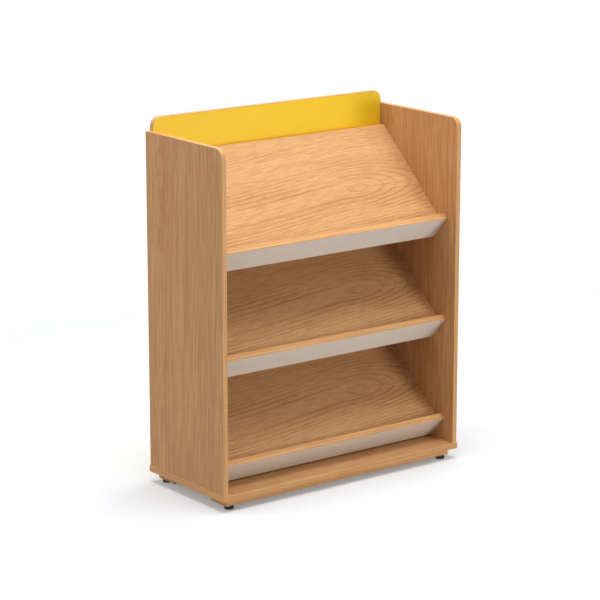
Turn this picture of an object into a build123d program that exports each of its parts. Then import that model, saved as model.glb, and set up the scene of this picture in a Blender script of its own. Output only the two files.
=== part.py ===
from build123d import *
import os
from math import cos, radians, sin, tan

# Book display rack of faced board: two side panels and a tall back panel stand on a base panel with
# plinth rails and levelling feet, and carry three sloping shelves, each with a lip square to it.
# Millimetres. +X is to the right, +Y to the rear, +Z up. The origin is on the floor, in the middle.

# Carcass, measured over the edging
rack_width = 1000.0
rack_depth = 430.0
side_height = 1150.0
back_rise = 45.0
side_thickness = 18.0
back_thickness = 18.0
corner_radius = 32.0
base_thickness = 22.0
base_overhang = 2.0

# Edging strips, glued on the cut edges
edging = 2.0
edging_arris = 1.5

# Sloping shelves: the board rises to the rear, and the lip stands square to it along its lower edge
shelf_levels = ("bottom", "middle", "top")
top_board_drop = 73.5
shelf_slope = 43.0
shelf_setback = 46.0
shelf_thickness = 22.0
lip_thickness = 22.0
lip_height = 107.0
lip_upstand = 33.0
lip_floor_gap = 3.5
board_back_gap = 2.5

# Plinth rails, flat under the base
rail_thickness = 22.0
rail_depth = 90.0
rail_end_inset = 25.0
rail_setback = 20.0

# Levelling feet: a pad that stays still on the floor, and a screwed stem that turns in it
foot_height = 14.0
foot_end_inset = 22.0
foot_edge_inset = 17.5
foot_travel = 10.0
pad_radius = 16.0
pad_height = 10.0
pad_sole_round = 1.2
pad_crown = 2.0
pad_floor = 3.0
collar_radius = 6.0
collar_thickness = 3.0
swivel_clearance = 0.1
stem_radius = 4.0
stem_chamfer = 1.0
hexagon_across_flats = 13.0
hexagon_gap = 0.25
insert_radius = 6.0
insert_length = 20.0
thread_clearance = 0.05
stem_relief = 1.0

# Dowels: the shorter end stands in a panel's face, the longer one in the other panel's edge
dowel_radius = 4.0
dowel_length = 35.0
dowel_in_face = 12.0
dowel_chamfer = 1.0
dowel_pitch = 32.0
bore_spare = 1.0
glue_gap = 0.1

# Board screws, up through the base into the edges above it
board_screw_length = 50.0
board_screw_head_radius = 5.0
board_screw_shank_radius = 3.5
board_screw_thread_radius = 3.0
board_screw_inset = 60.0
board_screw_hexagon = 4.0
board_screw_recess = 3.0
screw_tip = 2.0

# Countersunk screws, up through the rails into the base
rail_screw_length = 38.0
rail_screw_head_radius = 4.0
rail_screw_shank_radius = 2.0
rail_screw_thread_radius = 1.8
rail_screw_pitch = 250.0
rail_screw_count = 4
rail_screw_slot = 1.0
countersink_angle = 90.0

# Cam fittings: the bolt is screwed in a side panel, and the cam in the other board pulls its head
cam_radius = 7.5
cam_setback = 34.0
cam_floor = 4.5
cam_channel_radius = 3.6
cam_cross_length = 9.0
cam_cross_width = 1.4
cam_cross_depth = 2.5
bolt_thread_length = 11.0
bolt_thread_radius = 3.0
bolt_collar_radius = 3.7
bolt_collar_thickness = 2.0
bolt_shank_radius = 3.0
bolt_neck_radius = 2.0
bolt_neck_length = 5.0
bolt_head_radius = 3.2
bolt_head_length = 4.0
edge_bore_radius = 4.0
back_joint_inset = 90.0
board_joint_inset = 70.0

# Places along the rack, as shares of its inner width
back_screw_shares = (-0.4, 0.0, 0.4)
back_dowel_shares = (-0.2, 0.2)
lip_dowel_shares = (-0.42, -0.21, 0.0, 0.21, 0.42)

# Levels and faces worked out from the sizes above
front = -rack_depth / 2
rear = rack_depth / 2
rail_bottom = foot_height
base_bottom = rail_bottom + rail_thickness
base_top = base_bottom + base_thickness
side_top = base_top + side_height
back_height = side_height + back_rise
inner_width = rack_width - 2 * side_thickness
base_width = rack_width + 2 * base_overhang
base_depth = rack_depth + 2 * base_overhang
rail_width = base_width - 2 * rail_end_inset
back_front = rear - back_thickness
slope_run = cos(radians(shelf_slope))
slope_rise = sin(radians(shelf_slope))
lip_below = lip_height - lip_upstand
board_foot_y = front + shelf_setback + lip_thickness * slope_run + lip_upstand * slope_rise
board_foot_z = base_top + lip_floor_gap + lip_thickness * slope_rise + lip_below * slope_run
board_reach = back_front - board_back_gap - board_foot_y - shelf_thickness * slope_rise
board_length = board_reach / slope_run
top_board_foot_z = side_top - top_board_drop - board_length * slope_rise
shelf_pitch = (top_board_foot_z - board_foot_z) / (len(shelf_levels) - 1)
dowel_in_edge = dowel_length - dowel_in_face
stem_top = rail_bottom + insert_length + foot_travel
hexagon_height = foot_height - pad_height - 2 * hexagon_gap
SIDES = {"left": -1, "right": 1}
ENDS = {"front": -1, "rear": 1}
LOW_CENTRE = (Align.CENTER, Align.CENTER, Align.MIN)


# Places of the joints. Each seat lies on the face where two pieces meet. Its Z runs out of the piece
# that is bored in its face, and into the one that is bored in its edge.


def shelf_plane(level):
    """Local X runs up the slope from the lip's inner face, local Y stands out of the board."""
    lift = shelf_levels.index(level) * shelf_pitch
    return Plane(
        origin=(0, board_foot_y, board_foot_z + lift),
        x_dir=(0, slope_run, slope_rise),
        z_dir=(1, 0, 0),
    )


def board_point(level, along, out, across):
    return shelf_plane(level).from_local_coords(Vector(along, out, across))


def base_to_side_seats(inset, side):
    x = side * (rack_width - side_thickness) / 2
    places = (front + inset, rear - inset)
    return [Plane(origin=(x, y, base_top), z_dir=(0, 0, 1)) for y in places]


def base_to_back_seats(places):
    y = rear - back_thickness / 2
    return [Plane(origin=(x, y, base_top), z_dir=(0, 0, 1)) for x in places]


def side_to_back_seats(heights, side):
    x = side * inner_width / 2
    y = rear - back_thickness / 2
    return [Plane(origin=(x, y, z), x_dir=(0, 1, 0), z_dir=(-side, 0, 0)) for z in heights]


def side_to_board_seats(level, insets, side):
    mid = -shelf_thickness / 2
    return [
        Plane(
            origin=board_point(level, inset, mid, side * inner_width / 2),
            x_dir=shelf_plane(level).y_dir,
            z_dir=(-side, 0, 0),
        )
        for inset in insets
    ]


def lip_to_board_seats(level):
    slope = shelf_plane(level)
    mid = -shelf_thickness / 2
    return [
        Plane(origin=board_point(level, 0, mid, x), x_dir=(1, 0, 0), z_dir=slope.x_dir)
        for x in lip_dowel_places
    ]


def cam_places(seats, outward, thickness):
    """Centre of each cam on the open face of its board, with local X towards the bolt."""
    return [
        Plane(
            origin=seat.origin + seat.z_dir * cam_setback + outward * (thickness / 2),
            x_dir=-seat.z_dir,
            z_dir=outward,
        )
        for seat in seats
    ]


def bore_behind(seats, radius, depth):
    """Bore the face of the piece behind the seats."""
    with Locations(*seats):
        Hole(radius, depth)


def bore_ahead(seats, radius, depth):
    """Bore the edge of the piece in front of the seats."""
    with Locations(*[-seat for seat in seats]):
        Hole(radius, depth)


back_centre_z = (base_top + side_top) / 2
back_cam_heights = (base_top + back_joint_inset, back_centre_z, side_top - back_joint_inset)
back_dowel_heights = (back_cam_heights[0] + dowel_pitch, back_cam_heights[2] - dowel_pitch)
back_screw_places = [share * inner_width for share in back_screw_shares]
back_dowel_places = [share * inner_width for share in back_dowel_shares]
lip_dowel_places = [share * inner_width for share in lip_dowel_shares]
board_cam_places = (board_joint_inset, board_length - board_joint_inset)
board_dowel_places = (
    board_joint_inset + dowel_pitch,
    board_length - board_joint_inset - dowel_pitch,
)

side_screw_seats = {
    name: base_to_side_seats(board_screw_inset, side) for name, side in SIDES.items()
}
side_dowel_seats = {
    name: base_to_side_seats(board_screw_inset + dowel_pitch, side) for name, side in SIDES.items()
}
back_screw_seats = base_to_back_seats(back_screw_places)
back_base_dowel_seats = base_to_back_seats(back_dowel_places)
back_bolt_seats = {
    name: side_to_back_seats(back_cam_heights, side) for name, side in SIDES.items()
}
back_side_dowel_seats = {
    name: side_to_back_seats(back_dowel_heights, side) for name, side in SIDES.items()
}
board_bolt_seats = {
    (level, name): side_to_board_seats(level, board_cam_places, side)
    for level in shelf_levels
    for name, side in SIDES.items()
}
board_dowel_seats = {
    (level, name): side_to_board_seats(level, board_dowel_places, side)
    for level in shelf_levels
    for name, side in SIDES.items()
}
back_cam_seats = [
    place
    for seats in back_bolt_seats.values()
    for place in cam_places(seats, Vector(0, 1, 0), back_thickness)
]
board_cam_seats = {
    level: [
        place
        for name in SIDES
        for place in cam_places(
            board_bolt_seats[level, name], -shelf_plane(level).y_dir, shelf_thickness
        )
    ]
    for level in shelf_levels
}

foot_x = rail_width / 2 - foot_end_inset
foot_y = base_depth / 2 - rail_setback - foot_edge_inset
rail_y = base_depth / 2 - rail_setback - rail_depth / 2
stem_bore_radius = stem_radius + thread_clearance
bolt_reach = cam_setback + bolt_head_length / 2

os.makedirs("parts", exist_ok=True)


def outer_arrises(strip, core, across):
    """Long edges of an edging strip's outer face: those that don't touch the board it covers."""
    ends = strip.faces().filter_by(across)
    return ends.edges().filter_by(lambda edge: edge.distance_to(core.part) > edging / 2)


def side_outline(front_inset, rear_inset, top_inset):
    """A side panel seen from its right: square, with its upper front corner rounded."""
    with BuildSketch() as outline:
        with Locations((front + front_inset, base_top)):
            Rectangle(
                rack_depth - front_inset - rear_inset,
                side_height - top_inset,
                align=(Align.MIN, Align.MIN),
            )
        upper_front = outline.vertices().group_by(Axis.X)[0].sort_by(Axis.Y)[-1]
        fillet(upper_front, corner_radius - front_inset)
    return outline.sketch


def back_outline(inset):
    """The back panel seen from the front: square below, with both upper corners rounded."""
    with BuildSketch() as outline:
        with Locations((0, base_top)):
            Rectangle(
                inner_width - 2 * inset, back_height - inset, align=(Align.CENTER, Align.MIN)
            )
        fillet(outline.vertices().group_by(Axis.Y)[-1], corner_radius - inset)
    return outline.sketch


# Side panels. The front edging runs up the front, round the corner and along the top.
for name, side in SIDES.items():
    left_face = Plane.YZ.offset(side * (rack_width - side_thickness) / 2 - side_thickness / 2)

    with BuildPart() as core:
        with BuildSketch(left_face):
            add(side_outline(edging, edging, edging))
        extrude(amount=side_thickness)
        bore_ahead(
            side_screw_seats[name],
            board_screw_thread_radius + glue_gap,
            board_screw_length - base_thickness + bore_spare,
        )
        bore_ahead(side_dowel_seats[name], dowel_radius + glue_gap, dowel_in_edge + bore_spare)
        bore_behind(back_bolt_seats[name], bolt_thread_radius + glue_gap, bolt_thread_length)
        bore_behind(back_side_dowel_seats[name], dowel_radius + glue_gap, dowel_in_face)
        for level in shelf_levels:
            bolts = board_bolt_seats[level, name]
            bore_behind(bolts, bolt_thread_radius + glue_gap, bolt_thread_length)
            bore_behind(board_dowel_seats[level, name], dowel_radius + glue_gap, dowel_in_face)
    core.part.label = f"side_panel_{name}"
    export_step(core.part, f"parts/side_panel_{name}.step")

    with BuildPart() as front_strip:
        with BuildSketch(left_face):
            add(side_outline(0, 0, 0))
            add(side_outline(edging, 0, edging), mode=Mode.SUBTRACT)
        extrude(amount=side_thickness)
        fillet(outer_arrises(front_strip, core, Axis.X), edging_arris)
    front_strip.part.label = f"side_front_edging_{name}"
    export_step(front_strip.part, f"parts/side_front_edging_{name}.step")

    with BuildPart() as rear_strip:
        with BuildSketch(left_face):
            with Locations((rear, base_top)):
                Rectangle(edging, side_height - edging, align=(Align.MAX, Align.MIN))
        extrude(amount=side_thickness)
        fillet(rear_strip.edges().group_by(Axis.Y)[-1].filter_by(Axis.Z), edging_arris)
    rear_strip.part.label = f"side_rear_edging_{name}"
    export_step(rear_strip.part, f"parts/side_rear_edging_{name}.step")


# Back panel between the side panels, and the one strip that edges both its sides and its top.
back_bolts = [seat for seats in back_bolt_seats.values() for seat in seats]
back_side_dowels = [seat for seats in back_side_dowel_seats.values() for seat in seats]
back_plane = Plane.XZ.offset(-rear)

with BuildPart() as back_panel:
    with BuildSketch(back_plane):
        add(back_outline(edging))
    extrude(amount=back_thickness)
    bore_ahead(back_bolts, edge_bore_radius, cam_setback)
    bore_ahead(back_side_dowels, dowel_radius + glue_gap, dowel_in_edge + bore_spare)
    bore_ahead(back_base_dowel_seats, dowel_radius + glue_gap, dowel_in_edge + bore_spare)
    bore_ahead(
        back_screw_seats,
        board_screw_thread_radius + glue_gap,
        board_screw_length - base_thickness + bore_spare,
    )
    with Locations(*back_cam_seats):
        Hole(cam_radius + glue_gap, back_thickness - cam_floor + glue_gap)
back_panel.part.label = "back_panel"
export_step(back_panel.part, "parts/back_panel.step")

with BuildPart() as back_edging:
    with BuildSketch(back_plane):
        add(back_outline(0))
        add(back_outline(edging), mode=Mode.SUBTRACT)
    extrude(amount=back_thickness)
    fillet(outer_arrises(back_edging, back_panel, Axis.Y), edging_arris)
    bore_ahead(back_bolts, edge_bore_radius, edging)
    bore_ahead(back_side_dowels, dowel_radius + glue_gap, edging)
back_edging.part.label = "back_edging"
export_step(back_edging.part, "parts/back_edging.step")


# Base panel: the sides and the back stand on it, and the stems of the feet may rise into it.
base_screws_at = [seat for seats in side_screw_seats.values() for seat in seats] + back_screw_seats
base_dowels_at = [seat for seats in side_dowel_seats.values() for seat in seats]
base_dowels_at = base_dowels_at + back_base_dowel_seats
foot_places = {
    f"{end_name}_{side_name}": (side * foot_x, end * foot_y)
    for end_name, end in ENDS.items()
    for side_name, side in SIDES.items()
}
rail_screw_xs = [
    (index - (rail_screw_count - 1) / 2) * rail_screw_pitch for index in range(rail_screw_count)
]


def under(height, x, y):
    """A place on a horizontal face that looks down."""
    return Plane(origin=(x, y, height), z_dir=(0, 0, -1))


with BuildPart() as base_panel:
    with BuildSketch(Plane.XY.offset(base_bottom)):
        Rectangle(base_width - 2 * edging, base_depth - 2 * edging)
    extrude(amount=base_thickness)
    bore_behind(base_dowels_at, dowel_radius + glue_gap, dowel_in_face)
    with Locations(*[under(base_bottom, seat.origin.X, seat.origin.Y) for seat in base_screws_at]):
        CounterSinkHole(
            board_screw_shank_radius + glue_gap,
            board_screw_head_radius + glue_gap,
            counter_sink_angle=countersink_angle,
        )
    with Locations(*[under(rail_bottom, x, y) for x, y in foot_places.values()]):
        Hole(stem_radius + stem_relief, stem_top - rail_bottom + bore_spare)
    with Locations(
        *[under(base_bottom, x, end * rail_y) for x in rail_screw_xs for end in ENDS.values()]
    ):
        Hole(rail_screw_shank_radius + glue_gap, rail_screw_length - rail_thickness + bore_spare)
base_panel.part.label = "base_panel"
export_step(base_panel.part, "parts/base_panel.step")

with BuildPart() as base_long_edging:
    with BuildSketch(Plane.XY.offset(base_bottom)):
        with Locations(*[(0, end * (base_depth - edging) / 2) for end in ENDS.values()]):
            Rectangle(base_width, edging)
    extrude(amount=base_thickness)
    fillet(outer_arrises(base_long_edging, base_panel, Axis.Z).filter_by(Axis.X), edging_arris)
base_long_edging.part.label = "base_long_edging"
export_step(base_long_edging.part, "parts/base_long_edging.step")

with BuildPart() as base_end_edging:
    with BuildSketch(Plane.XY.offset(base_bottom)):
        with Locations(*[(side * (base_width - edging) / 2, 0) for side in SIDES.values()]):
            Rectangle(edging, base_depth - 2 * edging)
    extrude(amount=base_thickness)
    fillet(outer_arrises(base_end_edging, base_panel, Axis.Z).filter_by(Axis.Y), edging_arris)
base_end_edging.part.label = "base_end_edging"
export_step(base_end_edging.part, "parts/base_end_edging.step")


# Sloping shelves: a board with an edged upper end, and a lip with edging above and below.
for level in shelf_levels:
    slope = shelf_plane(level)
    bolts = [seat for name in SIDES for seat in board_bolt_seats[level, name]]
    side_dowels = [seat for name in SIDES for seat in board_dowel_seats[level, name]]
    lip_dowel_seats = lip_to_board_seats(level)

    with BuildPart() as board:
        with BuildSketch(slope):
            Rectangle(board_length - edging, shelf_thickness, align=(Align.MIN, Align.MAX))
        extrude(amount=inner_width / 2, both=True)
        bore_ahead(bolts, edge_bore_radius, cam_setback)
        bore_ahead(side_dowels, dowel_radius + glue_gap, dowel_in_edge + bore_spare)
        bore_ahead(lip_dowel_seats, dowel_radius + glue_gap, dowel_in_edge + bore_spare)
        with Locations(*board_cam_seats[level]):
            Hole(cam_radius + glue_gap, shelf_thickness - cam_floor + glue_gap)
    board.part.label = f"shelf_board_{level}"
    export_step(board.part, f"parts/shelf_board_{level}.step")

    with BuildPart() as board_strip:
        with BuildSketch(slope):
            with Locations((board_length, 0)):
                Rectangle(edging, shelf_thickness, align=(Align.MAX, Align.MAX))
        extrude(amount=inner_width / 2, both=True)
        far_edges = board_strip.edges().filter_by(Axis.X).filter_by(
            lambda edge: edge.distance_to(board.part) > edging / 2
        )
        fillet(far_edges, edging_arris)
    board_strip.part.label = f"shelf_edging_{level}"
    export_step(board_strip.part, f"parts/shelf_edging_{level}.step")

    with BuildPart() as lip:
        with BuildSketch(slope):
            with Locations((0, edging - lip_below)):
                Rectangle(lip_thickness, lip_height - 2 * edging, align=(Align.MAX, Align.MIN))
        extrude(amount=inner_width / 2, both=True)
        bore_behind(lip_dowel_seats, dowel_radius + glue_gap, dowel_in_face)
    lip.part.label = f"shelf_lip_{level}"
    export_step(lip.part, f"parts/shelf_lip_{level}.step")

    with BuildPart() as lip_strips:
        with BuildSketch(slope):
            with Locations((0, lip_upstand - edging), (0, -lip_below)):
                Rectangle(lip_thickness, edging, align=(Align.MAX, Align.MIN))
        extrude(amount=inner_width / 2, both=True)
        far_edges = lip_strips.edges().filter_by(Axis.X).filter_by(
            lambda edge: edge.distance_to(lip.part) > edging / 2
        )
        fillet(far_edges, edging_arris)
    lip_strips.part.label = f"lip_edging_{level}"
    export_step(lip_strips.part, f"parts/lip_edging_{level}.step")


# Plinth rails, each with a bore for the insert of a foot near either end.
for end_name, end in ENDS.items():
    with BuildPart() as rail:
        with BuildSketch(Plane.XY.offset(rail_bottom)):
            with Locations((0, end * rail_y)):
                Rectangle(rail_width, rail_depth - 2 * edging)
        extrude(amount=rail_thickness)
        with Locations(*[under(rail_bottom, x, end * rail_y) for x in rail_screw_xs]):
            CounterSinkHole(
                rail_screw_shank_radius + glue_gap,
                rail_screw_head_radius + glue_gap,
                counter_sink_angle=countersink_angle,
            )
        with Locations(*[under(rail_bottom, side * foot_x, end * foot_y) for side in SIDES.values()]):
            Hole(insert_radius + glue_gap)
    rail.part.label = f"plinth_rail_{end_name}"
    export_step(rail.part, f"parts/plinth_rail_{end_name}.step")

with BuildPart() as rail_edging:
    with BuildSketch(Plane.XY.offset(rail_bottom)):
        for end in ENDS.values():
            for face in (-1, 1):
                with Locations((0, end * rail_y + face * (rail_depth - edging) / 2)):
                    Rectangle(rail_width, edging)
    extrude(amount=rail_thickness)
    fillet(rail_edging.edges().group_by(Axis.Y)[0].filter_by(Axis.X), edging_arris)
    fillet(rail_edging.edges().group_by(Axis.Y)[-1].filter_by(Axis.X), edging_arris)
rail_edging.part.label = "rail_edging"
export_step(rail_edging.part, "parts/rail_edging.step")


# Dowels
def dowel_group(seats):
    with BuildPart() as group:
        with Locations(*seats):
            with Locations((0, 0, -dowel_in_face)):
                Cylinder(dowel_radius, dowel_length, align=LOW_CENTRE)
        chamfer(group.edges().filter_by(GeomType.CIRCLE), dowel_chamfer)
    return group


base_dowels = dowel_group(base_dowels_at)
base_dowels.part.label = "base_dowels"
export_step(base_dowels.part, "parts/base_dowels.step")

back_dowels = dowel_group(back_side_dowels)
back_dowels.part.label = "back_dowels"
export_step(back_dowels.part, "parts/back_dowels.step")

shelf_dowels = dowel_group([seat for seats in board_dowel_seats.values() for seat in seats])
shelf_dowels.part.label = "shelf_dowels"
export_step(shelf_dowels.part, "parts/shelf_dowels.step")

lip_dowels = dowel_group([seat for level in shelf_levels for seat in lip_to_board_seats(level)])
lip_dowels.part.label = "lip_dowels"
export_step(lip_dowels.part, "parts/lip_dowels.step")


# Screws
def screw(length, head_radius, shank_radius, shank_length, thread_radius):
    """A countersunk screw, pointing up, with its head flush at zero height."""
    head_height = (head_radius - shank_radius) / tan(radians(countersink_angle / 2))
    with BuildPart() as body:
        with BuildSketch(Plane.XZ):
            with BuildLine():
                Polyline(
                    (0, 0),
                    (head_radius, 0),
                    (shank_radius, head_height),
                    (shank_radius, shank_length),
                    (thread_radius, shank_length),
                    (thread_radius, length - screw_tip),
                    (0, length),
                    close=True,
                )
            make_face()
        revolve(axis=Axis.Z)
    return body


with BuildPart() as board_screw:
    add(
        screw(
            board_screw_length,
            board_screw_head_radius,
            board_screw_shank_radius,
            base_thickness,
            board_screw_thread_radius,
        ).part
    )
    with BuildSketch(Plane.XY):
        RegularPolygon(board_screw_hexagon / 2, 6, major_radius=False)
    extrude(amount=board_screw_recess, mode=Mode.SUBTRACT)

with BuildPart() as base_screws:
    with Locations(*[(seat.origin.X, seat.origin.Y, base_bottom) for seat in base_screws_at]):
        add(board_screw.part)
base_screws.part.label = "base_screws"
export_step(base_screws.part, "parts/base_screws.step")

with BuildPart() as rail_screw:
    add(
        screw(
            rail_screw_length,
            rail_screw_head_radius,
            rail_screw_shank_radius,
            rail_thickness,
            rail_screw_thread_radius,
        ).part
    )
    with BuildSketch(Plane.XY):
        for turn in (0, 90):
            Rectangle(rail_screw_head_radius, rail_screw_slot, rotation=turn)
    extrude(amount=rail_screw_slot, mode=Mode.SUBTRACT)

with BuildPart() as rail_screws:
    with Locations(*[(x, end * rail_y, rail_bottom) for x in rail_screw_xs for end in ENDS.values()]):
        add(rail_screw.part)
rail_screws.part.label = "rail_screws"
export_step(rail_screws.part, "parts/rail_screws.step")


# Cam fittings
with BuildPart() as cam_bolt:
    with BuildSketch(Plane.XZ):
        with BuildLine():
            Polyline(
                (0, -bolt_thread_length),
                (bolt_thread_radius, -bolt_thread_length),
                (bolt_thread_radius, 0),
                (bolt_collar_radius, 0),
                (bolt_collar_radius, bolt_collar_thickness),
                (bolt_shank_radius, bolt_collar_thickness),
                (bolt_shank_radius, bolt_reach - bolt_head_length - bolt_neck_length),
                (bolt_neck_radius, bolt_reach - bolt_head_length - bolt_neck_length),
                (bolt_neck_radius, bolt_reach - bolt_head_length),
                (bolt_head_radius, bolt_reach - bolt_head_length),
                (bolt_head_radius, bolt_reach),
                (0, bolt_reach),
                close=True,
            )
        make_face()
    revolve(axis=Axis.Z)

with BuildPart() as back_cam_bolts:
    with Locations(*back_bolts):
        add(cam_bolt.part)
back_cam_bolts.part.label = "back_cam_bolts"
export_step(back_cam_bolts.part, "parts/back_cam_bolts.step")

with BuildPart() as shelf_cam_bolts:
    with Locations(*[seat for seats in board_bolt_seats.values() for seat in seats]):
        add(cam_bolt.part)
shelf_cam_bolts.part.label = "shelf_cam_bolts"
export_step(shelf_cam_bolts.part, "parts/shelf_cam_bolts.step")


def cam(board_thickness):
    """A cam seen from its open face: crossed for a screwdriver, and hollow towards its bolt."""
    depth = board_thickness - cam_floor
    with BuildPart() as body:
        with BuildSketch(Plane.XY):
            Circle(cam_radius)
        extrude(amount=-depth)
        with BuildSketch(Plane.XY):
            for turn in (0, 90):
                Rectangle(cam_cross_length, cam_cross_width, rotation=turn)
        extrude(amount=-cam_cross_depth, mode=Mode.SUBTRACT)
        with BuildSketch(Plane.YZ.offset(-bolt_head_length)):
            with Locations((0, -board_thickness / 2)):
                Circle(cam_channel_radius)
        extrude(amount=bolt_head_length + cam_radius, mode=Mode.SUBTRACT)
    return body


back_cam = cam(back_thickness)
with BuildPart() as back_cams:
    with Locations(*back_cam_seats):
        add(back_cam.part)
back_cams.part.label = "back_cams"
export_step(back_cams.part, "parts/back_cams.step")

shelf_cam = cam(shelf_thickness)
with BuildPart() as shelf_cams:
    with Locations(*[place for places in board_cam_seats.values() for place in places]):
        add(shelf_cam.part)
shelf_cams.part.label = "shelf_cams"
export_step(shelf_cams.part, "parts/shelf_cams.step")


# Levelling feet: inserts fixed in the rails, and a pad and a stem at each corner.
with BuildPart() as foot_inserts:
    with BuildSketch(Plane.XY.offset(rail_bottom)):
        with Locations(*foot_places.values()):
            Circle(insert_radius)
            Circle(stem_bore_radius, mode=Mode.SUBTRACT)
    extrude(amount=insert_length)
foot_inserts.part.label = "foot_inserts"
export_step(foot_inserts.part, "parts/foot_inserts.step")

for name, place in foot_places.items():
    axis_plane = Plane(origin=(*place, 0), x_dir=(1, 0, 0), z_dir=(0, -1, 0))
    foot_axis = Axis(origin=(*place, 0), direction=(0, 0, 1))
    seat_low = pad_floor
    seat_high = pad_floor + collar_thickness + 2 * swivel_clearance

    with BuildPart() as pad:
        with BuildSketch(axis_plane):
            with BuildLine():
                Polyline(
                    (0, 0),
                    (pad_radius, 0),
                    (pad_radius, pad_height - pad_crown),
                    (pad_radius - pad_crown, pad_height),
                    (stem_radius + swivel_clearance, pad_height),
                    (stem_radius + swivel_clearance, seat_high),
                    (collar_radius + swivel_clearance, seat_high),
                    (collar_radius + swivel_clearance, seat_low),
                    (0, seat_low),
                    close=True,
                )
            make_face()
        revolve(axis=foot_axis)
        sole_edge = pad.edges().filter_by(GeomType.CIRCLE).group_by(Axis.Z)[0]
        fillet(sole_edge, pad_sole_round)
    pad.part.label = f"foot_pad_{name}"
    export_step(pad.part, f"parts/foot_pad_{name}.step")

    with BuildPart() as stem:
        with BuildSketch(Plane.XY.offset(seat_low + swivel_clearance)):
            with Locations(place):
                Circle(collar_radius)
        extrude(amount=collar_thickness)
        with BuildSketch(Plane.XY.offset(seat_low + swivel_clearance)):
            with Locations(place):
                Circle(stem_radius)
        extrude(amount=stem_top - seat_low - swivel_clearance)
        chamfer(stem.edges().group_by(Axis.Z)[-1], stem_chamfer)
        with BuildSketch(Plane.XY.offset(pad_height + hexagon_gap)):
            with Locations(place):
                RegularPolygon(hexagon_across_flats / 2, 6, major_radius=False)
        extrude(amount=hexagon_height)
    stem.part.label = f"foot_stem_{name}"
    export_step(stem.part, f"parts/foot_stem_{name}.step")
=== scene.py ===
"""Looks of the book display rack: faced boards, edging strips, fittings, levelling feet and a studio.

Metres, in the frame of the solids: +X to the right, +Y to the rear, +Z up, origin on the floor."""

from math import cos, pi, radians

import bmesh
import bpy
from bpy.props import FloatProperty, FloatVectorProperty, IntProperty, PointerProperty
from mathutils import Euler, Matrix, Vector


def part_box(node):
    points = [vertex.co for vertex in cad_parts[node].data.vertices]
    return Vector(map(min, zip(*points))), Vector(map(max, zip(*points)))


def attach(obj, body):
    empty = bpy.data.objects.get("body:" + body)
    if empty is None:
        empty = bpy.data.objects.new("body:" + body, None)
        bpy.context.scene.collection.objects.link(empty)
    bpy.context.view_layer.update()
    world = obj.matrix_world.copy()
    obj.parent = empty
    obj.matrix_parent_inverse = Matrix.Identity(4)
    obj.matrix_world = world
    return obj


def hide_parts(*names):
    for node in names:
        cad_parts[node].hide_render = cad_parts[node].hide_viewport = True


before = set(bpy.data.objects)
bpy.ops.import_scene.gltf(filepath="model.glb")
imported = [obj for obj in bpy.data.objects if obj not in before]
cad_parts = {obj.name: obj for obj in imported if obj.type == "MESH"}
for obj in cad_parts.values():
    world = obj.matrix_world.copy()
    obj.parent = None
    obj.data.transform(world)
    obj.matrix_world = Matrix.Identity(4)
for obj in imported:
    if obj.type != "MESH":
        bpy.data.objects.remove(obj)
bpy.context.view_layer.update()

bl_info = {
    "name": "Book Display Rack",
    "version": (1, 0, 0),
    "blender": (4, 5, 0),
    "location": "View3D > Sidebar > Rack",
    "description": "Finishes the boards, edging, fittings and feet of a book display rack",
    "category": "Object",
}

LEVELS = ("bottom", "middle", "top")
SIDES = ("left", "right")
ENDS = ("front", "rear")
CORNERS = tuple(f"{end}_{side}" for end in ENDS for side in SIDES)
ALONG_X = Vector((1, 0, 0))
ALONG_Y = Vector((0, 1, 0))
ALONG_Z = Vector((0, 0, 1))
WHITE = (1, 1, 1)

# Noise on a beech face: bumps per metre along the grain, across it and into the board. The flecks
# are shorter on a lively board than on a quiet one.
WANDER_BUMPS = (2.2, 6.0, 2.0)
RIPPLE_BUMPS = (5.0, 16.0, 2.0)
FADE_BUMPS = (1.9, 14.0, 1.0)
STREAK_BUMPS = (2.0, 150.0, 9.0)
BAND_BUMPS = (1.3, 13.0, 2.0)
PORE_BUMPS = (150.0, 2400.0, 40.0)
QUIET_FLECK_BUMPS = (4.0, 230.0, 9.0)
LIVELY_FLECK_BUMPS = (18.0, 230.0, 9.0)
GRAIN_ROUGHNESS = 0.6

# Noise at which a mark starts to show and shows in full.
FADE_STEP = (0.4, 0.6)
FLECK_STEP = (0.38, 0.62)
STREAK_STEP = (0.5, 0.7)
BAND_STEP = (0.3, 0.7)
PORE_STEP = (0.62, 0.72)
BREAK_STEP = (0.2, 0.6)
STRIP_BAND_STEP = (0.35, 0.65)
STRIP_STREAK_STEP = (0.5, 0.75)
SCUFF_STEP = (0.5, 0.8)

# Shares of a year's growth at which its late wood starts and is darkest.
LATE_START = 0.6
LATE_PEAK = 0.92

# Shares of the fall length that lie before the heart, for the fall and for the dip.
FALL_LEAD = 1 / 6
DIP_LEAD = 0.4

# Strength of each mark. A pair is for a quiet board and for a lively one.
FLECK_STRENGTH = (0.6, 0.38)
LINE_STRENGTH = (0.2, 1.0)
STREAK_STRENGTH = (0.6, 0.28)
BAND_STRENGTH = 0.12
PORE_STRENGTH = 0.2
STRIP_BAND_STRENGTH = 0.6
STRIP_STREAK_STRENGTH = 0.5

# Strength of a growth line where it is faded, clear, or broken by a pale fleck.
LINE_FADED = 0.26
LINE_CLEAR = 0.82
LINE_BROKEN = 0.7

# Distances above the heart over which the lines weaken on a lively board, and by how much.
WEAKER_STEP = (0.02, 0.14)
WEAKER_BY = 0.4

# Line colour mixed evenly into the faces whose lines aren't bold.
EVEN_LINE_SHARE = 0.22

# How much the lines swing and how dark they are. The shelf boards have both in full.
SIDE_GRAIN = {"lively": 0.35, "bold": 0.55}
BASE_GRAIN = {"lively": 0.5, "bold": 0.7}

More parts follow.
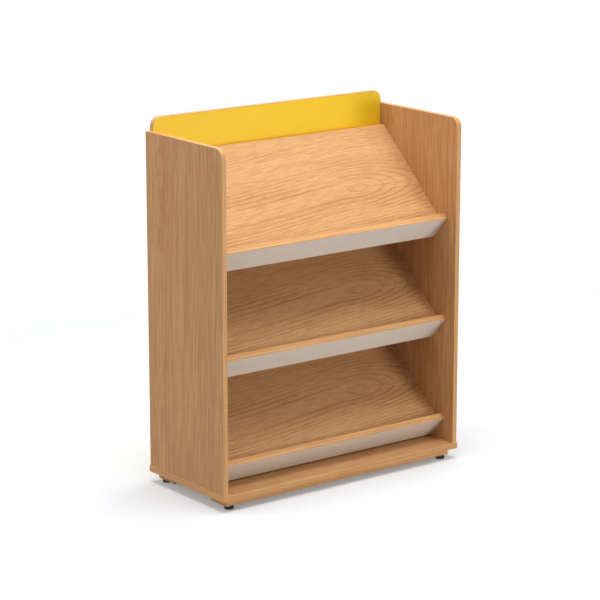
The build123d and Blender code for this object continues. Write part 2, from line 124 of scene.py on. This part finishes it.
# Where the heart of the log passes under each board: the first is a share of the side panel's
# depth, and the others are in metres, above the panel's foot, along the rack or up the slope.
SIDE_HEART_DEPTH_SHARE = 0.82
SIDE_HEART_HEIGHT = 0.84
BASE_HEART_X = 0.1
RAIL_HEART_X = 0.2
SHELF_HEART_X = 0.265
SHELF_HEART_RISE = 0.172

# Noise bumps per metre along a strip and across it, and how much finer its streaks are.
STRIP_ALONG = 3
STRIP_ACROSS = 190
DOWEL_BUMPS = (260, 260, 260)
FINER = 4.5

# Noise bumps per metre on the other finishes.
CLOUD_BUMPS = (9.0, 9.0, 9.0)
SCRATCH_BUMPS = (900, 900, 260)
HAZE_BUMPS = (140.0, 140.0, 140.0)
SPARK_BUMPS = (1500.0, 1500.0, 1500.0)
SCUFF_BUMPS = (120.0, 120.0, 120.0)

# Share of its colour that a clouded decor or a hazy plating keeps, and what a scuff adds.
CLOUDED = 0.93
HAZY = 0.78
SCUFFED = 0.012

# Stems: sides of the round bars and the hexagon, and chamfers and overlaps in metres. An edge is
# level where its ends are as high as each other within the last of these.
COLLAR_SIDES = 40
BAR_SIDES = 32
HEXAGON_SIDES = 6
COLLAR_CHAMFER = 0.0003
NECK_CHAMFER = 0.0001
HEXAGON_CHAMFER = 0.0005
TIP_CHAMFER = 0.0004
BAR_OVERLAP = 0.0002
THREAD_OVERLAP = 0.00005
LEVEL_EDGE = 1e-6

# Shares of the pitch at which the ridge of the thread leaves its root, crests and comes back.
RIDGE = (0.04, 0.42, 0.58, 0.96)

# Name, place and width of each square lamp, and the point that they face, in metres.
LAMPS = (
    ("top_lamp", (0, -0.3, 4.8), 3.6),
    ("front_lamp", (1.6, -4.6, 0.7), 1.2),
    ("left_lamp", (-4.8, 1.8, 2.4), 3.0),
    ("right_lamp", (4.8, 1.8, 2.4), 3.0),
)
LAMP_AIM = Vector((0, 0, 0.6))

# Width of the camera's sensor, in millimetres.
SENSOR_WIDTH = 36


def linear(colour):
    """A written screen colour, from 0 to 255, as the linear colour that a shader takes."""
    shares = [channel / 255 for channel in colour]
    return [s / 12.92 if s <= 0.04045 else ((s + 0.055) / 1.055) ** 2.4 for s in shares]


def between(pair, share):
    """The value at a share of the way from the first of a pair to the second."""
    return pair[0] + (pair[1] - pair[0]) * share


def colour_property(name, description, screen_colour):
    return FloatVectorProperty(
        name=name,
        description=description,
        subtype="COLOR",
        size=3,
        min=0.0,
        max=1.0,
        default=linear(screen_colour),
    )


def length_property(name, description, metres):
    return FloatProperty(
        name=name, description=description, subtype="DISTANCE", unit="LENGTH", default=metres
    )


def power_property(name, description, watts):
    return FloatProperty(name=name, description=description, subtype="POWER", default=watts)


class BeechDecor(bpy.types.PropertyGroup):
    """The beech decor printed on the boards and on their edging."""

    pale: colour_property("Pale wood", "Ground colour between the marks", (224, 175, 124))
    warm: colour_property("Warm wood", "Flecks and broad bands along the grain", (192, 140, 90))
    line: colour_property("Growth line", "Late wood and dark streaks", (168, 113, 68))
    pore: colour_property("Pores", "Short dark pores along the grain", (161, 108, 67))
    strip: colour_property("Edging", "Ground colour of the edging strips", (226, 171, 113))
    ring_pitch: length_property("Line pitch", "Growth of the log from line to line", 0.011)
    first_ring: length_property("First line", "Distance of one growth line from the heart", 0.0546)
    heart_depth: length_property("Heart depth", "Depth of the log's heart below the face", 0.05)
    heart_fall: length_property("Heart fall", "How much deeper the heart lies past the oval", 0.05)
    fall_length: length_property("Fall length", "Length over which the heart falls", 0.38)
    heart_dip: length_property("Heart dip", "How much deeper the heart lies before the oval", 0.006)
    wave: length_property("Wave", "How far the lines stray across the board", 0.017)
    wave_pitch: length_property("Wave pitch", "Distance along the grain from wave to wave", 1.4)
    wander: length_property("Wander", "How far the lines stray unevenly", 0.01)
    ripple: length_property("Ripple", "Unevenness of the growth lines", 0.0016)
    slant: FloatProperty(name="Slant", description="Rise of the lines across the board", default=0.04)


class PlainDecors(bpy.types.PropertyGroup):
    """The plain decors of the back panel and of the lips."""

    yellow: colour_property("Yellow", "Back panel", (255, 213, 36))
    grey: colour_property("Grey", "Shelf lips", (223, 212, 198))
    pearl: length_property("Pearl size", "Size of the small bumps of the plain decors", 0.0012)


class Fittings(bpy.types.PropertyGroup):
    """Metal and plastic fittings."""

    zinc: colour_property("Zinc plate", "Screws, stems and inserts", (196, 200, 204))
    die_cast: colour_property("Die-cast zinc", "Cams", (172, 174, 177))
    plastic: colour_property("Pad plastic", "Moulded pads of the feet", (22, 22, 23))
    thread_radius: length_property("Thread radius", "Radius of the stem over its thread", 0.004)
    thread_pitch: length_property("Thread pitch", "Rise of the stem's thread in one turn", 0.00125)
    thread_depth: length_property("Thread depth", "Depth of the stem's thread", 0.0006)
    thread_steps: IntProperty(name="Thread steps", description="Facets in one turn", default=28)
    hexagon_width: length_property("Hexagon width", "Stem's hexagon across its flats", 0.013)
    hexagon_gap: length_property("Hexagon gap", "Air above and below the hexagon", 0.00025)
    collar_radius: length_property("Collar radius", "Collar that the pad holds", 0.006)
    collar_height: length_property("Collar height", "Thickness of the collar", 0.003)


class Studio(bpy.types.PropertyGroup):
    """Floor, light and camera."""

    floor: colour_property("Floor", "Pale studio floor", (229, 233, 238))
    floor_bounce: colour_property("Floor's bounce", "Floor as it lights the rack", (195, 197, 199))
    floor_size: length_property("Floor size", "Side of the floor", 60.0)
    floor_glow: FloatProperty(
        name="Floor glow", description="White that the camera sees near the rack", default=0.21
    )
    white_from: length_property("White from", "Distance at which the floor starts to whiten", 0.65)
    white_to: length_property("White to", "Distance from which the floor is plain white", 3.0)
    sky: FloatProperty(name="Sky", description="Light from all round", default=0.29)
    top_lamp: power_property("Top lamp", "Large soft lamp overhead", 199.4)
    front_lamp: power_property("Front lamp", "Soft lamp low at the front", 69.4)
    left_lamp: power_property("Left lamp", "Soft lamp at the rear left", 60.5)
    right_lamp: power_property("Right lamp", "Soft lamp at the rear right", 47.0)
    camera_place: FloatVectorProperty(
        name="Camera",
        description="Place of the camera",
        subtype="XYZ",
        unit="LENGTH",
        default=(-4.9023, -6.4091, 2.5903),
    )
    camera_lens: FloatProperty(
        name="Lens", description="Focal length on a 36 mm sensor", unit="CAMERA", default=146.75
    )
    camera_down: FloatProperty(
        name="Tilt",
        description="Tilt of the camera below the horizon",
        subtype="ANGLE",
        default=radians(13.834),
    )
    camera_turn: FloatProperty(
        name="Turn",
        description="Turn of the camera to the right of +Y",
        subtype="ANGLE",
        default=radians(37.271),
    )


GROUPS = {
    "rack_beech": BeechDecor,
    "rack_plain": PlainDecors,
    "rack_fittings": Fittings,
    "rack_studio": Studio,
}


class Wire:
    """An output socket in an expression. Each operator on it adds its Math node."""

    def __init__(self, shader, socket):
        self.shader = shader
        self.socket = socket

    def __add__(self, other):
        return self.shader.math("ADD", self, other)

    def __radd__(self, other):
        return self.shader.math("ADD", other, self)

    def __sub__(self, other):
        return self.shader.math("SUBTRACT", self, other)

    def __rsub__(self, other):
        return self.shader.math("SUBTRACT", other, self)

    def __mul__(self, other):
        return self.shader.math("MULTIPLY", self, other)

    def __rmul__(self, other):
        return self.shader.math("MULTIPLY", other, self)

    def __truediv__(self, other):
        return self.shader.math("DIVIDE", self, other)

    def __rtruediv__(self, other):
        return self.shader.math("DIVIDE", other, self)

    def __pow__(self, other):
        return self.shader.math("POWER", self, other)

    def __rpow__(self, other):
        return self.shader.math("POWER", other, self)


class Shader:
    """The nodes of one material or of the surroundings."""

    def __init__(self, tree):
        self.tree = tree
        tree.nodes.clear()

    def node(self, kind, settings=None, sockets=None, output=0):
        """One node of any type: its settings first, then the values or links of its sockets."""
        made = self.tree.nodes.new("ShaderNode" + kind)
        for key, value in (settings or {}).items():
            setattr(made, key, value)
        for key, value in (sockets or {}).items():
            socket = made.inputs[key]
            if isinstance(value, Wire):
                self.tree.links.new(value.socket, socket)
            elif socket.type == "RGBA":
                socket.default_value = (*value, 1)
            else:
                socket.default_value = value
        return Wire(self, made.outputs[output]) if made.outputs else None

    def math(self, operation, *values):
        return self.node("Math", {"operation": operation}, dict(enumerate(values)))

    def vector(self, operation, first, second):
        return self.node("VectorMath", {"operation": operation}, {0: first, 1: second})

    def dot(self, first, second):
        sockets = {0: first, 1: second}
        return self.node("VectorMath", {"operation": "DOT_PRODUCT"}, sockets, output="Value")

    def place(self):
        """Places on the object, in metres."""
        return self.node("TexCoord", output="Object")

    def noise(self, vector, detail=2.0, roughness=0.5):
        """Noise from 0 to 1, one bump to a unit of the vector."""
        return self.node(
            "TexNoise",
            {"noise_dimensions": "3D"},
            {"Vector": vector, "Scale": 1.0, "Detail": detail, "Roughness": roughness},
        )

    def grain_noise(self, places, bumps, **kind):
        """Noise with its bumps per metre along the grain, across it and into the board."""
        x, y, z = [place * count for place, count in zip(places, bumps)]
        return self.noise(self.node("CombineXYZ", None, {"X": x, "Y": y, "Z": z}), **kind)

    def axis_noise(self, bumps, **kind):
        """Noise with its bumps per metre on each axis of the object."""
        return self.noise(self.vector("MULTIPLY", self.place(), bumps), **kind)

    def ease(self, value, low, high, low_out=0.0, high_out=1.0):
        """A smooth step from one level to another."""
        return self.node(
            "MapRange",
            {"interpolation_type": "SMOOTHSTEP"},
            {"Value": value, 1: low, 2: high, 3: low_out, 4: high_out},
        )

    def mix(self, share, first, second):
        """A colour at a share of the way from the first colour to the second."""
        return self.node("Mix", {"data_type": "RGBA"}, {0: share, 6: first, 7: second}, output=2)

    def seen(self):
        """1 for what the camera sees straight, in a reflection or through glass, and 0 for the rest."""
        straight, reflected, through = [
            self.node("LightPath", output=f"Is {kind} Ray")
            for kind in ("Camera", "Glossy", "Transmission")
        ]
        return self.math("MAXIMUM", self.math("MAXIMUM", straight, reflected), through)

    def surface(self, sockets, height, distance):
        """A Principled surface with a bump of the given height."""
        bump = self.node("Bump", None, {"Strength": 1.0, "Distance": distance, "Height": height})
        shaded = self.node("BsdfPrincipled", None, {**sockets, "Normal": bump})
        self.node("OutputMaterial", None, {"Surface": shaded})


def material(name):
    made = bpy.data.materials.new(name)
    made.use_nodes = True
    return made, Shader(made.node_tree)


def grain_places(shader, origin, along, across):
    """Places along the grain, across it and square to the face, in metres from an origin."""
    moved = shader.vector("SUBTRACT", shader.place(), origin)
    return [shader.dot(moved, axis) for axis in (along, across, along.cross(across))]


def growth_lines(shader, decor, straight, lively):
    """Each point's distance across the grain from the line of the heart, and its share of late wood.

    The growth lines are rings round the heart of a log. It runs under the face at a depth that is
    least near the origin, where the lines close into an oval."""
    u, v = straight[:2]
    wander = shader.grain_noise(straight, WANDER_BUMPS, detail=1.0) - 0.5
    ripple = shader.grain_noise(straight, RIPPLE_BUMPS, detail=1.0) - 0.5
    past = shader.ease(u, -decor.fall_length * FALL_LEAD, decor.fall_length * (1 - FALL_LEAD))
    before = shader.ease(u, -decor.fall_length * DIP_LEAD, 0.0, 1.0, 0.0)
    depth = past * decor.heart_fall + before * decor.heart_dip + decor.heart_depth
    wave = shader.math("COSINE", u * (2 * pi / decor.wave_pitch)) * decor.wave
    off = v - (wave + u * decor.slant + wander * decor.wander) * lively
    radius = (off * off + depth * depth) ** 0.5 + ripple * decor.ripple
    growth = shader.math("FRACT", (radius - decor.first_ring) / decor.ring_pitch + 1.0)
    late = shader.ease(growth, LATE_START, LATE_PEAK) * shader.ease(growth, LATE_PEAK, 1.0, 1.0, 0.0)
    return off, late


def beech_face(name, origin, along, across, lively=1.0, bold=1.0):
    """Beech decor on a flat face: growth lines round an oval, flecks, streaks, warm bands and pores.

    Lively is how much the lines swing, and bold how dark they are, both from 0 to 1."""
    decor = bpy.context.scene.rack_beech
    made, shader = material(name)
    straight = grain_places(shader, origin, along, across)
    off, late = growth_lines(shader, decor, straight, lively)
    strayed = (straight[0], off, straight[2])
    fleck_bumps = [between(pair, lively) for pair in zip(QUIET_FLECK_BUMPS, LIVELY_FLECK_BUMPS)]
    fleck = shader.grain_noise(strayed, fleck_bumps, roughness=GRAIN_ROUGHNESS)
    streak = shader.grain_noise(strayed, STREAK_BUMPS, roughness=GRAIN_ROUGHNESS)
    fade = shader.grain_noise(straight, FADE_BUMPS)
    band = shader.grain_noise(straight, BAND_BUMPS)
    pore = shader.ease(shader.grain_noise(straight, PORE_BUMPS, detail=1.0), *PORE_STEP)

    warm_share = (
        (shader.ease(fleck, *FLECK_STEP) - 0.5) * between(FLECK_STRENGTH, lively)
        + shader.ease(band, *BAND_STEP, -BAND_STRENGTH, BAND_STRENGTH)
        + 0.5
    )
    ground = shader.mix(warm_share, decor.pale, decor.warm)
    weaker = shader.ease(off, *WEAKER_STEP, 0.0, WEAKER_BY * lively)
    clear = shader.ease(fade, *FADE_STEP, LINE_FADED, LINE_CLEAR) - weaker
    lines = late * clear * between(LINE_STRENGTH, lively)
    streaks = shader.ease(streak, *STREAK_STEP) * between(STREAK_STRENGTH, lively)
    line_share = (lines + streaks) * bold + EVEN_LINE_SHARE * (1 - bold)
    unbroken = shader.ease(fleck, *BREAK_STEP, LINE_BROKEN, 1.0)
    lined = shader.mix(line_share * unbroken, ground, decor.line)
    shader.surface(
        {
            "Base Color": shader.mix(pore * PORE_STRENGTH, lined, decor.pore),
            "Roughness": 0.46 + pore * 0.12 + line_share * 0.05,
            "Specular IOR Level": 0.15,
        },
        height=1 - pore * 0.6 - line_share * 0.25,
        distance=0.00006,
    )
    return made


def beech_strip(name, bumps):
    """Beech decor on an edging strip or a dowel, with its noise bumps per metre on each axis."""
    decor = bpy.context.scene.rack_beech
    made, shader = material(name)
    band = shader.axis_noise(bumps)
    streak = shader.axis_noise([count * FINER for count in bumps], roughness=GRAIN_ROUGHNESS)
    warm_share = shader.ease(band, *STRIP_BAND_STEP) * STRIP_BAND_STRENGTH
    ground = shader.mix(warm_share, decor.strip, decor.warm)
    line_share = shader.ease(streak, *STRIP_STREAK_STEP) * STRIP_STREAK_STRENGTH
    shader.surface(
        {
            "Base Color": shader.mix(line_share, ground, decor.line),
            "Roughness": 0.4 + line_share * 0.12,
            "Specular IOR Level": 0.2,
        },
        height=1 - line_share,
        distance=0.00005,
    )
    return made


def plain_face(name, colour):
    """A plain decor with the fine pearl of pressed melamine."""
    decors = bpy.context.scene.rack_plain
    made, shader = material(name)
    pearl = shader.axis_noise([1 / decors.pearl] * 3)
    cloud = shader.axis_noise(CLOUD_BUMPS, detail=3.0)
    clouded = [channel * CLOUDED for channel in colour]
    shader.surface(
        {
            "Base Color": shader.mix(cloud * 0.2 + pearl * 0.12, colour, clouded),
            "Roughness": 0.44 + pearl * 0.12,
            "Specular IOR Level": 0.35,
        },
        height=pearl,
        distance=0.00008,
    )
    return made


def plated(name, colour, roughness):
    """Zinc with a little haze and fine scratches."""
    made, shader = material(name)
    scratch = shader.axis_noise(SCRATCH_BUMPS)
    haze = shader.axis_noise(HAZE_BUMPS)
    hazy = [channel * HAZY for channel in colour]
    shader.surface(
        {
            "Base Color": shader.mix(haze, colour, hazy),
            "Metallic": 1.0,
            "Roughness": roughness + haze * 0.16 + scratch * 0.08,
        },
        height=scratch,
        distance=0.00002,
    )
    return made


def moulded(name, colour):
    """Black moulded plastic with a fine spark-eroded grain."""
    made, shader = material(name)
    spark = shader.axis_noise(SPARK_BUMPS)
    scuff = shader.axis_noise(SCUFF_BUMPS, detail=3.0)
    scuffed = [channel + SCUFFED for channel in colour]
    shader.surface(
        {
            "Base Color": shader.mix(shader.ease(scuff, *SCUFF_STEP), colour, scuffed),
            "Roughness": 0.42 + scuff * 0.2,
        },
        height=spark,
        distance=0.00006,
    )
    return made


def dress(nodes, finish):
    """Give the nodes one finish, in their objects' own slots."""
    for name in nodes:
        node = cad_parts[name]
        if not node.data.materials:
            node.data.materials.append(None)
        for slot in node.material_slots:
            slot.link = "OBJECT"
            slot.material = finish


class RACK_OT_boards(bpy.types.Operator):
    """Finish the side panels, base, rails and sloping boards in beech, and the rest in plain decors"""

    bl_idname = "rack.boards"
    bl_label = "Finish the boards"

    def execute(self, context):
        plain = context.scene.rack_plain
        for side, turn in zip(SIDES, (-1, 1)):
            board = f"side_panel_{side}"
            low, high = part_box(board)
            heart_y = between((low.y, high.y), SIDE_HEART_DEPTH_SHARE)
            heart = Vector((0, heart_y, low.z + SIDE_HEART_HEIGHT))
            finish = beech_face(f"beech_side_{side}", heart, ALONG_Z, ALONG_Y * turn, **SIDE_GRAIN)
            dress([board], finish)
        low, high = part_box("base_panel")
        heart = Vector((BASE_HEART_X, low.y, high.z))
        dress(["base_panel"], beech_face("beech_base", heart, ALONG_X, ALONG_Y, **BASE_GRAIN))
        for end in ENDS:
            board = f"plinth_rail_{end}"
            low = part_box(board)[0]
            heart = Vector((RAIL_HEART_X, low.y, low.z))
            dress([board], beech_face(f"beech_rail_{end}", heart, ALONG_X, ALONG_Y, **BASE_GRAIN))
        for level in LEVELS:
            board = f"shelf_board_{level}"
            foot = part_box(board)[0]
            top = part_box(f"shelf_edging_{level}")[1]
            rise = Vector((0, top.y - foot.y, top.z - foot.z)).normalized()
            heart = Vector((SHELF_HEART_X, foot.y, foot.z)) + rise * SHELF_HEART_RISE
            dress([board], beech_face(f"beech_shelf_{level}", heart, ALONG_X, rise))
        dress(["back_panel"], plain_face("yellow_decor", plain.yellow))
        dress([f"shelf_lip_{level}" for level in LEVELS], plain_face("grey_decor", plain.grey))
        return {"FINISHED"}


class RACK_OT_edging(bpy.types.Operator):
    """Finish the edging strips in beech, with their lines along each strip"""

    bl_idname = "rack.edging"
    bl_label = "Finish the edging"

    def execute(self, context):
        upright = [f"side_{end}_edging_{side}" for end in ENDS for side in SIDES]
        lengthwise = ["base_long_edging", "rail_edging"]
        lengthwise += [f"{kind}_edging_{level}" for kind in ("shelf", "lip") for level in LEVELS]
        few, many = STRIP_ALONG, STRIP_ACROSS
        dress(upright, beech_strip("beech_strip_side", (many, few, few)))
        dress(["back_edging"], beech_strip("beech_strip_back", (few, many, few)))
        dress(lengthwise, beech_strip("beech_strip_long", (few, many, many)))
        dress(["base_end_edging"], beech_strip("beech_strip_end", (many, few, many)))
        return {"FINISHED"}


class RACK_OT_fittings(bpy.types.Operator):
    """Finish the dowels, screws, cam fittings, inserts and pads"""

    bl_idname = "rack.fittings"
    bl_label = "Finish the fittings"

    def execute(self, context):
        fittings = context.scene.rack_fittings
        plated_nodes = ["base_screws", "rail_screws", "back_cam_bolts", "shelf_cam_bolts", "foot_inserts"]
        dress(plated_nodes, plated("zinc_plate", fittings.zinc, roughness=0.26))
        cams = ["back_cams", "shelf_cams"]
        dress(cams, plated("die_cast_zinc", fittings.die_cast, roughness=0.4))
        pads = [f"foot_pad_{corner}" for corner in CORNERS]
        dress(pads, moulded("pad_plastic", fittings.plastic))
        dowels = ["base_dowels", "back_dowels", "shelf_dowels", "lip_dowels"]
        dress(dowels, beech_strip("dowel_beech", DOWEL_BUMPS))
        return {"FINISHED"}


def thread(mesh, foot, turns, pitch, crest, root, steps):
    """A closed ridge, spun up round an upright axis from its foot, with its ends filled."""
    radii = (root, crest, crest, root)
    corners = [
        mesh.verts.new(foot + Vector((radius, 0, share * pitch))) for radius, share in zip(radii, RIDGE)
    ]
    start = mesh.faces.new(corners)
    bmesh.ops.spin(
        mesh,
        geom=[start, *start.edges, *corners],
        cent=foot,
        axis=ALONG_Z,
        dvec=Vector((0, 0, pitch / steps)),
        angle=2 * pi * turns,
        steps=steps * turns,
        use_merge=False,
        use_duplicate=False,
    )


def upright_bar(mesh, centre, radius, low, high, sides, chamfer):
    """An upright bar with both rims chamfered. One of its corners points along X."""
    quarter = Matrix.Rotation(pi / 2, 4, "Z")
    made = bmesh.ops.create_cone(
        mesh,
        cap_ends=True,
        segments=sides,
        radius1=radius,
        radius2=radius,
        depth=high - low,
        matrix=Matrix.Translation((centre.x, centre.y, (low + high) / 2)) @ quarter,
    )
    corners = set(made["verts"])
    rims = [
        edge
        for edge in mesh.edges
        if edge.verts[0] in corners
        and abs(edge.verts[0].co.z - edge.verts[1].co.z) < LEVEL_EDGE
    ]
    bmesh.ops.bevel(
        mesh,
        geom=rims,
        offset=chamfer,
        offset_type="OFFSET",
        segments=2,
        profile=0.5,
        affect="EDGES",
        material=-1,
    )


class RACK_OT_stems(bpy.types.Operator):
    """Make the threaded stem of each foot: collar, neck, hexagon and thread"""

    bl_idname = "rack.stems"
    bl_label = "Make the stems"

    def execute(self, context):
        fittings = context.scene.rack_fittings
        pitch = fittings.thread_pitch
        crest = fittings.thread_radius
        root = crest - fittings.thread_depth
        collar = fittings.collar_radius
        hexagon = fittings.hexagon_width / 2 / cos(pi / 6)
        hexagon_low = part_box("foot_pad_front_left")[1].z + fittings.hexagon_gap
        hexagon_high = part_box("foot_inserts")[0].z - fittings.hexagon_gap
        neck_high = hexagon_low + BAR_OVERLAP
        shank_low = hexagon_high - BAR_OVERLAP
        for corner in CORNERS:
            name = f"foot_stem_{corner}"
            low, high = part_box(name)
            centre = (low + high) / 2
            collar_top = low.z + fittings.collar_height
            neck_low = collar_top - BAR_OVERLAP
            foot = Vector((centre.x, centre.y, hexagon_high))
            turns = int((high.z - hexagon_high) / pitch) - 1
            mesh = bmesh.new()
            upright_bar(mesh, centre, collar, low.z, collar_top, COLLAR_SIDES, COLLAR_CHAMFER)
            upright_bar(mesh, centre, crest, neck_low, neck_high, BAR_SIDES, NECK_CHAMFER)
            upright_bar(
                mesh, centre, hexagon, hexagon_low, hexagon_high, HEXAGON_SIDES, HEXAGON_CHAMFER
            )
            upright_bar(mesh, centre, root, shank_low, high.z, BAR_SIDES, TIP_CHAMFER)
            thread(mesh, foot, turns, pitch, crest, root - THREAD_OVERLAP, fittings.thread_steps)
            bmesh.ops.recalc_face_normals(mesh, faces=mesh.faces)
            data = bpy.data.meshes.new(f"threaded_stem_{corner}")
            mesh.to_mesh(data)
            mesh.free()
            data.materials.append(bpy.data.materials["zinc_plate"])
            stem = bpy.data.objects.new(f"threaded_stem_{corner}", data)
            context.scene.collection.objects.link(stem)
            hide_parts(name)
            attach(stem, f"stem_{corner}")
        return {"FINISHED"}


def floor_finish(studio):
    """Pale where it lies near the rack, plain white far off, and clear from below.

    The white is only what the camera sees. All other light falls on a pale floor."""
    made, shader = material("studio_floor")
    seen = shader.seen()
    colour = shader.mix(seen, studio.floor_bounce, studio.floor)
    pale = shader.node("BsdfDiffuse", None, {"Color": colour})
    glow = shader.node("Emission", None, {"Strength": seen * studio.floor_glow})
    near = shader.node("AddShader", None, {0: pale, 1: glow})
    white = shader.node("Emission", None, {"Strength": 1.0})
    away = shader.node("VectorMath", {"operation": "LENGTH"}, {0: shader.place()}, output="Value")
    far_share = seen * shader.ease(away, studio.white_from, studio.white_to)
    top = shader.node("MixShader", None, {0: far_share, 1: near, 2: white})
    below = shader.node("NewGeometry", output="Backfacing")
    clear = shader.node("BsdfTransparent", None, {"Color": WHITE})
    whole = shader.node("MixShader", None, {0: below, 1: top, 2: clear})
    shader.node("OutputMaterial", None, {"Surface": whole})
    return made


def add_floor(context, studio):
    mesh = bmesh.new()
    bmesh.ops.create_grid(mesh, x_segments=1, y_segments=1, size=studio.floor_size / 2)
    data = bpy.data.meshes.new("studio_floor")
    mesh.to_mesh(data)
    mesh.free()
    data.materials.append(floor_finish(studio))
    floor = bpy.data.objects.new("studio_floor", data)
    context.scene.collection.objects.link(floor)


def add_surroundings(context, studio):
    """White where the camera looks, and a soft light from all round for everything else."""
    surroundings = bpy.data.worlds.new("studio_world")
    surroundings.use_nodes = True
    shader = Shader(surroundings.node_tree)
    strength = shader.seen() * (1 - studio.sky) + studio.sky
    background = shader.node("Background", None, {"Color": WHITE, "Strength": strength})
    shader.node("OutputWorld", None, {"Surface": background})
    context.scene.world = surroundings


def add_lamp(context, name, place, width, power):
    data = bpy.data.lights.new(name, "AREA")
    data.shape = "SQUARE"
    data.size = width
    data.energy = power
    lamp = bpy.data.objects.new(name, data)
    lamp.location = place
    lamp.rotation_euler = (LAMP_AIM - lamp.location).to_track_quat("-Z", "Y").to_euler()
    context.scene.collection.objects.link(lamp)


def add_camera(context, studio):
    data = bpy.data.cameras.new("studio_camera")
    data.lens = studio.camera_lens
    data.sensor_width = SENSOR_WIDTH
    camera = bpy.data.objects.new("studio_camera", data)
    camera.location = studio.camera_place
    camera.rotation_euler = Euler((pi / 2 - studio.camera_down, 0, -studio.camera_turn))
    context.scene.collection.objects.link(camera)
    context.scene.camera = camera


class RACK_OT_studio(bpy.types.Operator):
    """Make the floor, the light and the camera"""

    bl_idname = "rack.studio"
    bl_label = "Make the studio"

    def execute(self, context):
        studio = context.scene.rack_studio
        add_floor(context, studio)
        add_surroundings(context, studio)
        for name, place, width in LAMPS:
            add_lamp(context, name, place, width, getattr(studio, name))
        add_camera(context, studio)
        context.scene.view_settings.view_transform = "Standard"
        return {"FINISHED"}


STEPS = (RACK_OT_boards, RACK_OT_edging, RACK_OT_fittings, RACK_OT_stems, RACK_OT_studio)


class RACK_PT_panel(bpy.types.Panel):
    """Sizes, colours and steps of the rack"""

    bl_idname = "RACK_PT_panel"
    bl_label = "Book display rack"
    bl_space_type = "VIEW_3D"
    bl_region_type = "UI"
    bl_category = "Rack"

    def draw(self, context):
        layout = self.layout
        for step in STEPS:
            layout.operator(step.bl_idname)
        for place in GROUPS:
            group = getattr(context.scene, place)
            box = layout.box()
            for key in group.__annotations__:
                box.prop(group, key)


def register():
    for group in GROUPS.values():
        bpy.utils.register_class(group)
    for place, group in GROUPS.items():
        setattr(bpy.types.Scene, place, PointerProperty(type=group))
    for made in (*STEPS, RACK_PT_panel):
        bpy.utils.register_class(made)


def unregister():
    for made in (RACK_PT_panel, *reversed(STEPS)):
        bpy.utils.unregister_class(made)
    for place in GROUPS:
        delattr(bpy.types.Scene, place)
    for group in GROUPS.values():
        bpy.utils.unregister_class(group)


def main():
    register()
    bpy.ops.rack.boards()
    bpy.ops.rack.edging()
    bpy.ops.rack.fittings()
    bpy.ops.rack.stems()
    bpy.ops.rack.studio()


if __name__ == "__main__":
    main()
